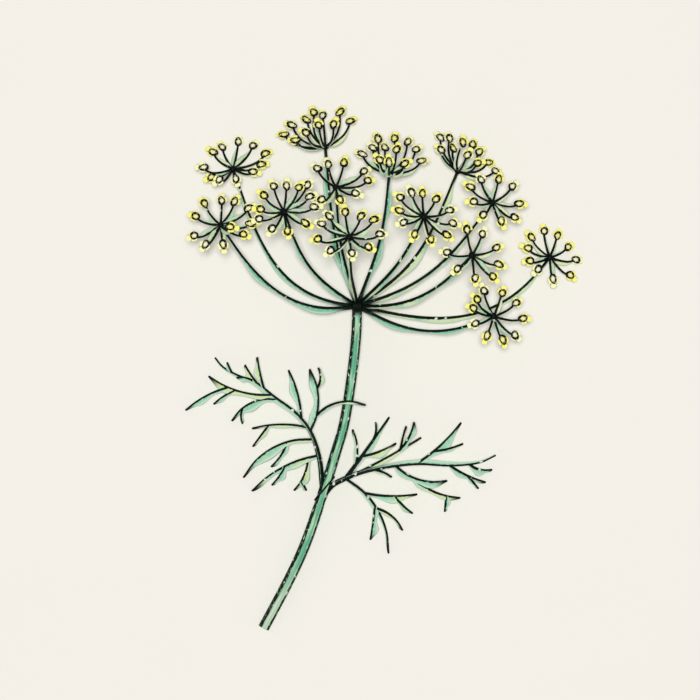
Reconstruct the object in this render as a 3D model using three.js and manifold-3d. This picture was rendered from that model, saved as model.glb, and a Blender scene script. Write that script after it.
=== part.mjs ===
// A cut flowering dill stem, lying down: ribbed stem, two feathery leaves and an umbel of thirteen umbellets.
// Millimetres, +Z up from the surface that it lies on, +Y along the stem towards the flowers.

import * as THREE from 'three';
import { mergeVertices } from 'three/addons/utils/BufferGeometryUtils.js';
import Module from 'manifold-3d';

const wasm = await Module();
wasm.setup();

// Driving dimensions
const cutRadius = 2.05;         // main stem at its cut end
const neckRadius = 1.8;         // main stem under the umbel
const ribCount = 10;
const ribHeight = 0.16;
const hubRadius = 2.6;          // knob that the rays grow from
const nodeRadius = 1.75;        // slightly narrower joint where the leaves leave the stem
const rayRootRadius = 0.85;
const rayTipRadius = 0.58;
const pedicelRadius = 0.44;
const pedicelSides = 3;
const umbelletHubRadius = 1.4;
const petalReach = 1.95;        // floret's centre to a petal's tip
const petalNotch = 1.1;         // floret's centre to the notch between two petals
const petalLift = 0.5;
const petalCount = 5;
const outwardStretch = 1.6;     // how much longer a floret's outer petals are than its inner ones
const outwardBow = 0.13;        // share of its length that a pedicel bows away from its umbellet's axis
const sag = 0.09;               // share that it hung down by while the plant stood, towards -Y now
const upwardLean = 1.0;         // how far florets turn up to the light
const ovaryDepth = 1.3;
const ribRootRadius = 1.0;      // leaf rib where it leaves the stem
const ribTipRadius = 0.5;
const threadRootRadius = 0.6;
const threadTipRadius = 0.42;
const gap = 0.3;                // between a leaf and the stem
const rayGap = 0.7;             // between a ray's tip and its umbellet's knob
const toCentre = [-0.27, -0.3]; // sets the origin under the middle of the whole stem

const umbelHub = new THREE.Vector3(-10, 24, 14);
const leafNode = 0.41;          // where along the stem the leaves grow

const stemRoute = [
  [-45.5, -98, 2.21], [-36, -80, 2.7], [-30, -67, 3.5], [-22.7, -46, 5.4], [-18, -31, 7.2],
  [-15, -20.5, 8.6], [-11.7, 0.5, 11.2], [-10.4, 13, 12.9], [-10, 24, 14],
];

// Each umbellet: its hub, which way it faces, the headings in degrees that its ray leaves and arrives with,
// how far its florets open from its axis in degrees, and where each stands as seen from above its hub.
// A third number is how far a floret stands above the hub, where it isn't on that cone.
const umbellets = [
  { at: [-57, 76, 5.5], faces: [0.1, 0.7, 0.7], ray: [177, 108], open: 68, florets: [
    [-7.6, 6.4], [-4.2, 8.4], [1.9, 10.5], [7.4, 9], [12.2, 5.8], [10.7, 1.6], [7.7, -1.3], [1.3, -4.2],
    [-4.8, -4.6], [-8, -3.4, 6], [-10.8, 0.2],
  ] },
  { at: [-22, 84, 11.5], faces: [-0.18, 0.95, 0.25], ray: [112, 94], florets: [
    [-15.6, 4.8, -2], [-12.6, 8.1, 3], [-7.2, 10.6, -6], [-4.4, 12.8, 4], [-1.1, 12.3, -7], [5.5, 13, 2],
    [9.3, 9.9, -3], [3.1, 8, 9], [-2.5, 7.6, 11], [-7.2, 4.8, 10], [-11.2, 2.2, 6],
  ] },
  { at: [-61, 54, 27], faces: [-0.05, 0.58, 0.81], ray: [192, 122], open: 74, florets: [
    [-6.1, 8.2], [0.3, 9.3], [5.1, 8.9], [10.4, 6.3], [11.2, 0.4], [8.7, -3.6], [1.2, -7.4], [-5.3, -7.4],
    [-9.6, -4.1], [-9.3, 3.3], [3.8, -0.9, 9],
  ] },
  { at: [-37, 58.5, 42], faces: [0.05, 0.52, 0.85], ray: [150, 108], open: 74, florets: [
    [-7.5, 6], [-4, 9.5], [0.8, 9.7], [5.4, 8.8, 3], [8.5, 9.9], [9.4, 5.6], [11, 1.7], [7.8, -4.4],
    [1.3, -7.3], [-4.3, -6.5], [-9.1, -2.9], [-8.7, 0.8],
  ] },
  { at: [-18, 68, 30.5], faces: [0.1, 0.7, 0.7], ray: [108, 92], open: 73, florets: [
    [-6.9, 7.1], [-2.8, 8.7], [3, 9.4], [10.5, 6.1], [11.9, 2.5], [7.3, -2.4], [1.6, -4.9], [-5.2, -5],
  ] },
  { at: [-13, 49, 50], faces: [0, 0.62, 0.78], ray: [102, 92], open: 74, florets: [
    [-10.1, 4.8], [-7.3, 7.6], [-1.5, 9.2], [4.3, 7.6], [9, 6.3], [11.2, 0.9], [7, -3.9], [1, -6.2],
    [-6.8, -5.3], [-11.5, -1],
  ] },
  { at: [2, 73.5, 20], faces: [0.05, 0.95, 0.28], ray: [68, 86], florets: [
    [-10.1, 7.6, -4], [-6.2, 9.4, 6], [-4.2, 13.1, -1], [1.9, 13.1, 3], [7, 12.1, -2], [10, 9, 3],
    [12.1, 5, -3], [5.6, 3.3, 10], [2.6, 8.6, 9], [-1.6, 10.3, -8], [-3.6, 4.7, 9], [-0.2, 3.6, 13],
  ] },
  { at: [28, 75, 9.5], faces: [0.5, 0.8, 0.3], ray: [30, 68], florets: [
    [-6.4, 7.8, 4], [-6.5, 12.8, -3], [-3.2, 12.1, 5], [-1.6, 8.9, -6], [1.7, 10.4, 8], [5.7, 10.2, -3],
    [8, 7.1, 3], [3.3, 5.5, 11], [7.2, 2.6, 9], [11.8, 3.5, -6], [14.3, 0.1, -2],
  ] },
  { at: [14.5, 56.5, 46], faces: [0.22, 0.3, 0.92], ray: [42, 66], open: 74, florets: [
    [-8.8, 7], [-4.5, 8.8], [-0.5, 8.5], [4.5, 6.5], [9.5, 2.4], [10.6, -2.4], [8.3, -6.8], [2.5, -8.4],
    [-3.5, -6.6], [-7.6, -2.3], [-9, 2.1],
  ] },
  { at: [40.5, 62.5, 24], faces: [0.25, 0.45, 0.85], ray: [14, 54], open: 72, florets: [
    [-8.2, 5.8], [-4.2, 8.6], [2.5, 8.8], [7.6, 6.2], [10, -0.4], [8.1, -5.6], [3.1, -7], [-3.6, -4.8],
    [-7.1, 0.2],
  ] },
  { at: [32.5, 42.5, 38], faces: [0.15, 0.2, 0.97], ray: [-6, 48], open: 74, florets: [
    [-1.9, 9.4], [3.8, 7.9], [9, 2.8], [9.7, -3.4], [7.6, -7.9], [1, -8.5], [-5.6, -5.1], [-9.4, 1],
  ] },
  { at: [41, 20, 24], faces: [0.3, 0.1, 0.95], ray: [-32, 24], open: 74, florets: [
    [-7.7, 3], [-6.4, 6.2, 8], [-3.7, 9.5], [3.2, 8.7], [8.4, 5], [11, -0.8], [7.9, -7], [3.3, -8.7],
    [-2.6, -7.2], [-7, -2.7],
  ] },
  { at: [63, 42.5, 3.4], faces: [0.34, 0.28, 0.9], ray: [-15, 54], open: 76, florets: [
    [-8.4, 3.4], [-7, 7.6], [-2.1, 10], [3.1, 8.3], [7.1, 4], [10, -0.8], [7.7, -6.7], [1, -8.2],
    [-4.6, -4.6], [-7.7, -1.4],
  ] },
];

// Each thread grows from the rib, or from another thread by name: how far along, the turn from its parent's
// heading in degrees (left is positive), its length, its bend over that length and its tip's height;
// arch is how far it rises in between and root its radius where it starts, where they aren't the usual ones
const leftRib = [
  [-23, -46, 5.6], [-24, -34, 9.5], [-27.5, -23.5, 11.5], [-33, -16.5, 11], [-41, -10.5, 9], [-49, -4.5, 6.5],
  [-55, -2.3, 4.6], [-61, 1, 3], [-64, 4.5, 2.2],
];
const leftThreads = [
  { name: 'up', at: 0.34, turn: -59, long: 24.4, bend: 60, tip: 9 },
  { from: 'up', at: 0.67, turn: -45, long: 8.4, bend: 62, tip: 12 },
  { from: 'up', at: 0.25, turn: -27, long: 20.4, bend: -72, tip: 15, arch: 1.5 },
  { at: 0.42, turn: -39, long: 19, bend: 24, tip: 5 },
  { at: 0.68, turn: -35, long: 12, bend: -10, tip: 8 },
  { at: 0.73, turn: -20, long: 8, bend: -10, tip: 4 },
  { at: 0.88, turn: -40, long: 4, bend: 0, tip: 4.5 },
  { at: 0.75, turn: -5, long: 6.5, bend: 40, tip: 8 },
  { name: 'fan', at: 0.62, turn: 42, long: 25.8, bend: -40, tip: 2.5 },
  { from: 'fan', at: 0.66, turn: 38, long: 18.6, bend: 26, tip: 1 },
  { from: 'fan', at: 0.54, turn: 40, long: 10, bend: 20, tip: 1.5 },
  { name: 'hook', at: 0.58, turn: 25, long: 20.8, bend: 70, tip: 2 },
  { from: 'hook', at: 0.68, turn: 30, long: 6, bend: 40, tip: 1 },
  { name: 'side', at: 0.36, turn: 44, long: 21.5, bend: 28, tip: 7 },
  { from: 'side', at: 0.69, turn: 46, long: 10.2, bend: 0, tip: 3 },
  { name: 'sweep', at: 0.29, turn: 64, long: 32.5, bend: 66, tip: 1 },
  { from: 'sweep', at: 0.31, turn: 55, long: 11.5, bend: -30, tip: 2.5 },
  { name: 'low', at: 0.2, turn: 86, long: 29.6, bend: 38, tip: 1 },
  { from: 'low', at: 0.45, turn: 38, long: 9, bend: -20, tip: 2 },
  { name: 'drop', from: 'low', at: 0.14, turn: 74, long: 14, bend: -42, tip: 1.5 },
  { from: 'drop', at: 0.66, turn: 60, long: 4, bend: 0, tip: 1 },
];

const rightRib = [
  [-22, -47, 5.6], [-19, -43.7, 7.5], [-15, -41.6, 9.2], [-10.5, -39.6, 10.6], [-5, -38, 11.2], [5, -36.2, 10.6],
  [14, -35.6, 9.4], [23.5, -36.2, 7.6], [31, -36, 5.8], [37, -35, 4.2], [42.5, -32.5, 3],
];
const rightThreads = [
  { name: 'tall', at: 0.15, turn: 28, long: 28.5, bend: 2, tip: 5, root: 0.95 },
  { from: 'tall', at: 0.21, turn: 20, long: 14, bend: 40, tip: 6 },
  { from: 'tall', at: 0.62, turn: 5, long: 7, bend: 45, tip: 3 },
  { from: 'tall', at: 0.36, turn: -44, long: 14, bend: 22, tip: 9 },
  { name: 'long', at: 0.15, turn: 0, long: 32.5, bend: 6, tip: 8 },
  { from: 'long', at: 0.72, turn: 51, long: 9.3, bend: -8, tip: 12 },
  { from: 'long', at: 0.7, turn: 15, long: 12.5, bend: 36, tip: 14 },
  { name: 'rise', at: 0.55, turn: 31, long: 23, bend: 20, tip: 3 },
  { from: 'rise', at: 0.34, turn: -35, long: 11.5, bend: 20, tip: 5 },
  { at: 0.84, turn: -45, long: 9.5, bend: 50, tip: 1 },
  { name: 'end', at: 0.73, turn: -35, long: 15.5, bend: 20, tip: 1 },
  { from: 'end', at: 0.5, turn: -24, long: 6.5, bend: 0, tip: 1.5 },
  { name: 'fall', at: 0.43, turn: -52, long: 21.5, bend: 56, tip: 6 },
  { name: 'stray', from: 'fall', at: 0.36, turn: -20, long: 20.5, bend: 40, tip: 1 },
  { from: 'stray', at: 0.73, turn: -82, long: 6, bend: 0, tip: 1 },
  { at: 0.31, turn: -20, long: 7.6, bend: -30, tip: 8 },
  { name: 'down', at: 0.15, turn: -55, long: 34.5, bend: -62, tip: 1 },
  { name: 'cross', from: 'down', at: 0.26, turn: 34, long: 20, bend: 20, tip: 2 },
  { from: 'cross', at: 0.56, turn: -54, long: 9.6, bend: 20, tip: 1 },
  { from: 'down', at: 0.47, turn: 43, long: 13.5, bend: -50, tip: 1 },
  { from: 'down', at: 0.44, turn: -38, long: 13, bend: -6, tip: 2 },
];

/** Repeatable numbers from 0 to 1. */
function seeded(seed) {
  let state = seed * 7919;
  return () => {
    state = (state * 48271) % 2147483647;
    return state / 2147483647;
  };
}

/** A closed geometry as a solid that can be joined and cut. */
function toSolid(geometry) {
  geometry.deleteAttribute('normal');
  geometry.deleteAttribute('uv');
  const merged = mergeVertices(geometry, 1e-4);
  const vertProperties = new Float32Array(merged.getAttribute('position').array);
  const triVerts = new Uint32Array(merged.index.array);
  return new wasm.Manifold(new wasm.Mesh({ numProp: 3, vertProperties, triVerts }));
}

/** A solid's largest body as a geometry. */
function toGeometry(solid) {
  const bodies = solid.decompose().sort((a, b) => b.volume() - a.volume());
  const mesh = bodies[0].getMesh();
  const geometry = new THREE.BufferGeometry();
  geometry.setAttribute('position', new THREE.BufferAttribute(mesh.vertProperties, 3));
  geometry.setIndex(new THREE.BufferAttribute(mesh.triVerts, 1));
  geometry.computeVertexNormals();
  return geometry;
}

/** All the solids joined into one. */
function fuse(solids) {
  return solids.reduce((joined, solid) => joined.add(solid));
}

/** A closed rod bent along a curve, with radiusAt(along, corner) from its root to its tip. */
function bentRod(curve, radiusAt, sides, steps) {
  const rod = new THREE.CylinderGeometry(1, 1, 1, sides, steps);
  const frames = curve.computeFrenetFrames(steps, false);
  const position = rod.getAttribute('position');
  for (let i = 0; i < position.count; i++) {
    const across = position.getX(i);
    const over = position.getZ(i);
    const along = position.getY(i) + 0.5;
    const step = Math.round(along * steps);
    const corner = Math.round((Math.atan2(over, across) / (2 * Math.PI)) * sides + sides) % sides;
    const radius = radiusAt(along, corner);
    const point = curve.getPointAt(along);
    point.addScaledVector(frames.normals[step], across * radius);
    point.addScaledVector(frames.binormals[step], -over * radius);
    position.setXYZ(i, point.x, point.y, point.z);
  }
  return toSolid(rod);
}

/** A smooth curve through points written as [x, y, z]. */
function through(points) {
  return new THREE.CatmullRomCurve3(points.map((point) => new THREE.Vector3(...point)), false, 'centripetal');
}

/** A rounded knob, stretched along a direction. */
function knob(centre, radius, direction, stretch) {
  const geometry = new THREE.SphereGeometry(radius, 7, 6);
  geometry.scale(1, stretch, 1);
  const turn = new THREE.Quaternion().setFromUnitVectors(new THREE.Vector3(0, 1, 0), direction);
  geometry.applyQuaternion(turn);
  geometry.translate(centre.x, centre.y, centre.z);
  return toSolid(geometry);
}

/** A unit vector with a heading and a climb in radians. */
function direction(heading, climb) {
  const level = Math.cos(climb);
  return new THREE.Vector3(level * Math.cos(heading), level * Math.sin(heading), Math.sin(climb));
}

const radians = THREE.MathUtils.degToRad;
const stemCurve = through(stemRoute);

/** The main stem's radius before its ribs. */
function stemRadius(along) {
  const taper = THREE.MathUtils.lerp(cutRadius, neckRadius, along);
  const joint = Math.exp(-(((along - leafNode) / 0.02) ** 2));
  return THREE.MathUtils.lerp(taper, nodeRadius, joint);
}

/** A ray's curve, from the umbel's hub to just under its umbellet. */
function rayCurve(umbellet) {
  const facing = new THREE.Vector3(...umbellet.faces).normalize();
  const top = new THREE.Vector3(...umbellet.at);
  const span = top.distanceTo(umbelHub);
  const startClimb = Math.asin((top.z - umbelHub.z) / span) * 0.8;
  const endClimb = Math.asin(facing.z) * 0.6 * Math.min(1, top.z / 40);
  const start = direction(radians(umbellet.ray[0]), startClimb);
  const end = direction(radians(umbellet.ray[1]), endClimb);
  const tip = top.addScaledVector(end, -(umbelletHubRadius + rayGap));
  const firstHandle = umbelHub.clone().addScaledVector(start, span * 0.42);
  const secondHandle = tip.clone().addScaledVector(end, -span * 0.4);
  return new THREE.CubicBezierCurve3(umbelHub, firstHandle, secondHandle, tip);
}

/** The stem with its leaf joint, its umbel hub and all the rays, as one grown piece. */
function makeStem() {
  const ribbed = (along, corner) => stemRadius(along) + (corner % 2 === 0 ? ribHeight : 0);
  const solids = [bentRod(stemCurve, ribbed, ribCount * 2, 16)];
  solids.push(knob(umbelHub, hubRadius, stemCurve.getTangentAt(1), 0.9));
  for (const umbellet of umbellets) {
    const radiusAt = (along) => THREE.MathUtils.lerp(rayRootRadius, rayTipRadius, along);
    solids.push(bentRod(rayCurve(umbellet), radiusAt, 5, 6));
  }
  return toGeometry(fuse(solids));
}

/** Adds the faces between two rings of points, which may hold different numbers of them. */
function stitch(faces, low, lowCount, high, highCount) {
  let i = 0;
  let j = 0;
  while (i < lowCount || j < highCount) {
    const here = low + (i % lowCount);
    const above = high + (j % highCount);
    const highStep = (j + 0.5) / highCount <= (i + 0.5) / lowCount;
    if (j < highCount && (i === lowCount || highStep)) {
      j += 1;
      faces.push(here, high + (j % highCount), above);
    } else {
      i += 1;
      faces.push(here, low + (i % lowCount), above);
    }
  }
}

/** A pedicel with its floret: a bowed three-sided rod that opens into five raised petals. */
function makeSprig(hub, place) {
  const centre = hub.clone().addScaledVector(place.heading, place.reach);
  const { x, y, z } = place.facing;
  const reachDown = petalReach * outwardStretch * Math.hypot(x, y) + petalLift * Math.max(0, -z);
  centre.z = Math.max(centre.z, reachDown);
  const foot = centre.clone().addScaledVector(place.facing, -ovaryDepth);
  foot.z = Math.max(foot.z, pedicelRadius);
  const bow = hub.clone().lerp(foot, 0.5).addScaledVector(place.out, place.reach * outwardBow);
  bow.y -= place.reach * sag;
  bow.z = Math.max(bow.z, pedicelRadius);
  const points = [];
  const addRing = (middle, tangent, corners, radiusAt, liftAt, stretch) => {
    const across = place.out.clone().addScaledVector(tangent, -place.out.dot(tangent)).normalize();
    const over = tangent.clone().cross(across);
    for (let i = 0; i < corners; i++) {
      const angle = place.spin + (i / corners) * 2 * Math.PI;
      const offset = across.clone().multiplyScalar(radiusAt(i) * Math.cos(angle));
      offset.addScaledVector(over, radiusAt(i) * Math.sin(angle));
      offset.addScaledVector(place.away, Math.max(0, offset.dot(place.away)) * (stretch - 1));
      points.push(middle.clone().add(offset).addScaledVector(tangent, liftAt(i)));
    }
  };
  const thin = () => pedicelRadius;
  const level = () => 0;
  const isPetal = (i) => i % 2 === 0;
  const outline = (i) => (isPetal(i) ? petalReach : petalNotch);
  const along = foot.clone().sub(hub).normalize();
  const lift = (i) => (isPetal(i) ? petalLift : 0);
  addRing(hub, along, pedicelSides, thin, level, 1);
  addRing(bow, along, pedicelSides, thin, level, 1);
  addRing(foot, place.facing, pedicelSides, thin, level, 1);
  addRing(centre, place.facing, petalCount * 2, outline, lift, outwardStretch);
  points.push(centre.clone().addScaledVector(place.facing, petalLift * 0.8));

  const neck = 2 * pedicelSides;
  const flower = 3 * pedicelSides;
  const crown = points.length - 1;
  const faces = [0, 2, 1];
  stitch(faces, 0, pedicelSides, pedicelSides, pedicelSides);
  stitch(faces, pedicelSides, pedicelSides, neck, pedicelSides);
  stitch(faces, neck, pedicelSides, flower, petalCount * 2);
  for (let i = 0; i < petalCount * 2; i++) {
    faces.push(crown, flower + i, flower + ((i + 1) % (petalCount * 2)));
  }
  const geometry = new THREE.BufferGeometry().setFromPoints(points);
  geometry.setIndex(faces);
  return toSolid(geometry);
}

/** How far above its hub a floret at x, y stands, to be at an angle in radians from its umbellet's axis. */
function coneRise(axis, open, x, y) {
  const share = Math.cos(open);
  const level = x * axis.x + y * axis.y;
  const steep = axis.z ** 2 - share ** 2;
  return (share * Math.sqrt(level ** 2 + steep * (x * x + y * y)) - level * axis.z) / steep;
}

/**
 * Where the florets of an umbellet stand: which way from its hub and how far, which way each one looks, and
 * which way in its own plane its longer petals point.
 */
function floretPlaces(umbellet, seed) {
  const random = seeded(seed);
  const axis = new THREE.Vector3(...umbellet.faces).normalize();
  const places = umbellet.florets.map(([x, y, above]) => {
    const heading = new THREE.Vector3(x, y, above ?? coneRise(axis, radians(umbellet.open), x, y));
    const reach = heading.length();
    heading.normalize();
    const out = heading.clone().addScaledVector(axis, -heading.dot(axis)).normalize();
    const facing = heading.clone().lerp(axis, 0.55);
    facing.z += upwardLean;
    facing.normalize();
    const away = new THREE.Vector3(x, y, 0).projectOnPlane(facing).normalize();
    return { heading, facing, out, away, reach, spin: (random() - 0.5) * 0.7 };
  });
  return { axis, places };
}

/** One umbellet: a small hub with its pedicels and florets. */
function makeUmbellet(umbellet, seed) {
  const hub = new THREE.Vector3(...umbellet.at);
  const { axis, places } = floretPlaces(umbellet, seed);
  const solids = places.map((place) => makeSprig(hub, place));
  return toGeometry(fuse([knob(hub, umbelletHubRadius, axis, 0.8), ...solids]));
}

/** A leaf thread's curve: a level arc that sinks or rises to its tip's height. */
function threadCurve(thread, parent) {
  const start = parent.getPointAt(thread.at);
  const tangent = parent.getTangentAt(thread.at);
  const heading = Math.atan2(tangent.y, tangent.x) + radians(thread.turn);
  const bend = radians(thread.bend);
  const arch = thread.arch ?? 0.8;
  const points = [start];
  const pieces = 4;
  for (let i = 1; i <= pieces; i++) {
    const share = i / pieces;
    const chord = thread.long * share * (bend === 0 ? 1 : Math.sin(bend * share / 2) / (bend * share / 2));
    const towards = heading + (bend * share) / 2;
    const height = THREE.MathUtils.lerp(start.z, thread.tip, share) + arch * Math.sin(Math.PI * share);
    points.push(new THREE.Vector3(
      start.x + chord * Math.cos(towards), start.y + chord * Math.sin(towards), Math.max(height, threadTipRadius),
    ));
  }
  return new THREE.CatmullRomCurve3(points, false, 'centripetal');
}

/** A leaf: its rib and all its threads, cut clear of the stem that it grows on. */
function makeLeaf(rib, threads) {
  const ribCurve = through(rib);
  const ribRadius = (along) => THREE.MathUtils.lerp(ribRootRadius, ribTipRadius, Math.sqrt(along));
  const solids = [bentRod(ribCurve, ribRadius, 5, 10)];
  const curves = { rib: ribCurve };
  for (const thread of threads) {
    const curve = threadCurve(thread, curves[thread.from ?? 'rib']);
    if (thread.name) curves[thread.name] = curve;
    const rootRadius = thread.root ?? threadRootRadius;
    const radiusAt = (along) => THREE.MathUtils.lerp(rootRadius, threadTipRadius, along);
    const steps = Math.max(2, Math.round(thread.long / 5.5));
    solids.push(bentRod(curve, radiusAt, 3, steps));
  }
  const sides = 16;
  const clearRadius = (along) => (stemRadius(along) + ribHeight + gap) / Math.cos(Math.PI / sides);
  const clearStem = bentRod(stemCurve, clearRadius, sides, 16);
  return toGeometry(fuse(solids).subtract(clearStem));
}

const stemGreen = new THREE.MeshStandardMaterial({ color: 0x6f9a78, roughness: 0.55, metalness: 0 });
const leafGreen = new THREE.MeshStandardMaterial({ color: 0x7fae8c, roughness: 0.6, metalness: 0 });
const floretYellow = new THREE.MeshStandardMaterial({ color: 0xe9dc66, roughness: 0.6, metalness: 0 });

const dill = new THREE.Group();
dill.position.set(...toCentre, 0);

function addPiece(name, geometry, material) {
  const mesh = new THREE.Mesh(geometry, material);
  mesh.name = name;
  dill.add(mesh);
}

addPiece('stem', makeStem(), stemGreen);
addPiece('leaf_left', makeLeaf(leftRib, leftThreads), leafGreen);
addPiece('leaf_right', makeLeaf(rightRib, rightThreads), leafGreen);
umbellets.forEach((umbellet, i) => {
  const number = String(i + 1).padStart(2, '0');
  addPiece(`umbellet_${number}`, makeUmbellet(umbellet, i + 1), floretYellow);
});

export default dill;
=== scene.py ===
# A cut flowering dill stem lying on a pale table: ribbed stem, two feathery leaves, thirteen umbellets.
# Metres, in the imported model's frame: +Y runs along the stem towards the flowers, +Z up from the table.

import math

import bpy
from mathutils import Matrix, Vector


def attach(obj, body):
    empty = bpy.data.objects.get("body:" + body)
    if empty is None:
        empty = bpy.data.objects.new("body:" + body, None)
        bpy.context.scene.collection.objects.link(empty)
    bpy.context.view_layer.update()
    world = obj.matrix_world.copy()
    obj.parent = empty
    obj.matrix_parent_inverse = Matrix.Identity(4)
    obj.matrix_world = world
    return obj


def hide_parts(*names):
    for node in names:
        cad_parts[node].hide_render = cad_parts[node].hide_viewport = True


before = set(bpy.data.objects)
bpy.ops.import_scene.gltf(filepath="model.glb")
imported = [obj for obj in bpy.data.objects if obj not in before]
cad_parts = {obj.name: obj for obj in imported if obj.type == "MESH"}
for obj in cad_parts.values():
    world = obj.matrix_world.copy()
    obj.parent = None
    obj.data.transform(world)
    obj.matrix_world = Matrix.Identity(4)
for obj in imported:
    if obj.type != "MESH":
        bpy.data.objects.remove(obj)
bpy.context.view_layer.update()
scene = bpy.context.scene
toCentre = Vector((-0.00027, -0.0003, 0.0))  # the whole plant, set over the frame's origin
umbelHub = Vector((-0.010, 0.024, 0.014))  # before that shift


# Node trees, written as Python sums

class Wire:  # one output socket
    def __init__(self, net, socket):
        self.net = net
        self.socket = socket

    def __add__(self, other):
        return self.net.math("ADD", self, other)

    def __sub__(self, other):
        return self.net.math("SUBTRACT", self, other)

    def __rsub__(self, other):
        return self.net.math("SUBTRACT", other, self)

    def __mul__(self, other):
        return self.net.math("MULTIPLY", self, other)

    __radd__ = __add__

    def __truediv__(self, other):
        return self.net.math("DIVIDE", self, other)


class Net:  # one node tree while it is being built
    def __init__(self, tree):
        self.tree = tree

    def add(self, kind, settings, sockets, out=0):
        node = self.tree.nodes.new(kind)
        for name, value in settings.items():
            setattr(node, name, value)
        shown = [socket for socket in node.inputs if socket.enabled]
        for key, value in sockets.items():
            socket = shown[key] if isinstance(key, int) else next(s for s in shown if s.name == key)
            if isinstance(value, Wire):
                self.tree.links.new(value.socket, socket)
            else:
                socket.default_value = value
        results = [Wire(self, socket) for socket in node.outputs if socket.enabled]
        if out is None:
            return results
        return results[out] if results else node

    def math(self, operation, *values):
        return self.add("ShaderNodeMath", {"operation": operation}, dict(enumerate(values)))

    def vector(self, x, y, z):
        return self.add("ShaderNodeCombineXYZ", {}, {0: x, 1: y, 2: z})

    def split(self, vector):
        return self.add("ShaderNodeSeparateXYZ", {}, {0: vector}, out=None)

    def ease(self, value, low, high):  # 0 below low, 1 above high, smooth between
        settings = {"interpolation_type": "SMOOTHSTEP"}
        return self.add("ShaderNodeMapRange", settings, {"Value": value, "From Min": low, "From Max": high})

    def blend(self, share, first, second):  # a colour between two
        return self.add("ShaderNodeMix", {"data_type": "RGBA"}, {"Factor": share, "A": first, "B": second})

    def noise(self, place, scale, detail=2.0):
        return self.add("ShaderNodeTexNoise", {}, {"Vector": place, "Scale": scale, "Detail": detail})

    def objectPlace(self):
        return self.add("ShaderNodeTexCoord", {}, {}, out=3)

    def position(self):
        return self.split(self.add("GeometryNodeInputPosition", {}, {}))

    def ball(self, segments, rings, radius=1.0):
        sockets = {"Segments": segments, "Rings": rings, "Radius": radius}
        return self.add("GeometryNodeMeshUVSphere", {}, sockets)

    def moved(self, geometry, place):
        return self.add("GeometryNodeSetPosition", {}, {"Geometry": geometry, "Position": place})


def paint(red, green, blue):  # a colour as seen on screen, 0 to 255, as Blender's linear one
    def linear(level):
        share = level / 255
        return share / 12.92 if share <= 0.04045 else ((share + 0.055) / 1.055) ** 2.4
    return (linear(red), linear(green), linear(blue), 1.0)


def newObject(name, data):
    thing = bpy.data.objects.new(name, data)
    scene.collection.objects.link(thing)
    return thing


# Materials

everySurface = {"specular": 0.12, "grainDepth": 0.0001}


class Surface(Net):  # one material while it is being built
    def __init__(self, name, roughness):
        self.material = bpy.data.materials.new(name)
        self.material.use_nodes = True
        super().__init__(self.material.node_tree)
        self.shader = next(node for node in self.tree.nodes if node.type == "BSDF_PRINCIPLED")
        self.shader.inputs["Roughness"].default_value = roughness
        self.shader.inputs["Specular IOR Level"].default_value = everySurface["specular"]

    def attribute(self, name, out=2):  # out 1 is the vector, 2 the single number
        return self.add("ShaderNodeAttribute", {"attribute_name": name}, {}, out=out)

    def grain(self, height, strength):
        sockets = {"Strength": strength, "Distance": everySurface["grainDepth"], "Height": height}
        return self.add("ShaderNodeBump", {}, sockets)

    def finish(self, wires):  # joins each wire to the shader's socket of that name
        for name, wire in wires.items():
            self.tree.links.new(wire.socket, self.shader.inputs[name])
        return self.material


stemLook = {
    "teal": paint(104, 182, 146),
    "pale": paint(182, 224, 186),
    "lime": paint(180, 216, 138),
    # deep green of the grooves and the cut's rind, also painted as shade on the flanks and underside
    "deep": paint(22, 84, 56),
    # near black: painted shade down the upper flanks, also the dark knob and the sheath's edge
    "line": paint(0, 14, 7),
    "bare": paint(206, 226, 198),  # towards the cut end
    "bareUpTo": 0.24,  # share of the stem's length
    "waxGlint": paint(214, 228, 208),  # painted highlights on the dark line: pale flecks, as glints on a waxy skin
    "lineFrom": 0.42,  # how far out towards the sides the dark line of painted shade begins
    "lineFull": 0.54,
    "lineShift": 0.1,  # the line is broader on the left
    # how far its gaps lighten that painted shade line
    "shadeGapDepth": 0.7,
    "flankFrom": 0.62,  # how far down the sides the shade of the underside begins
}


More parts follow.
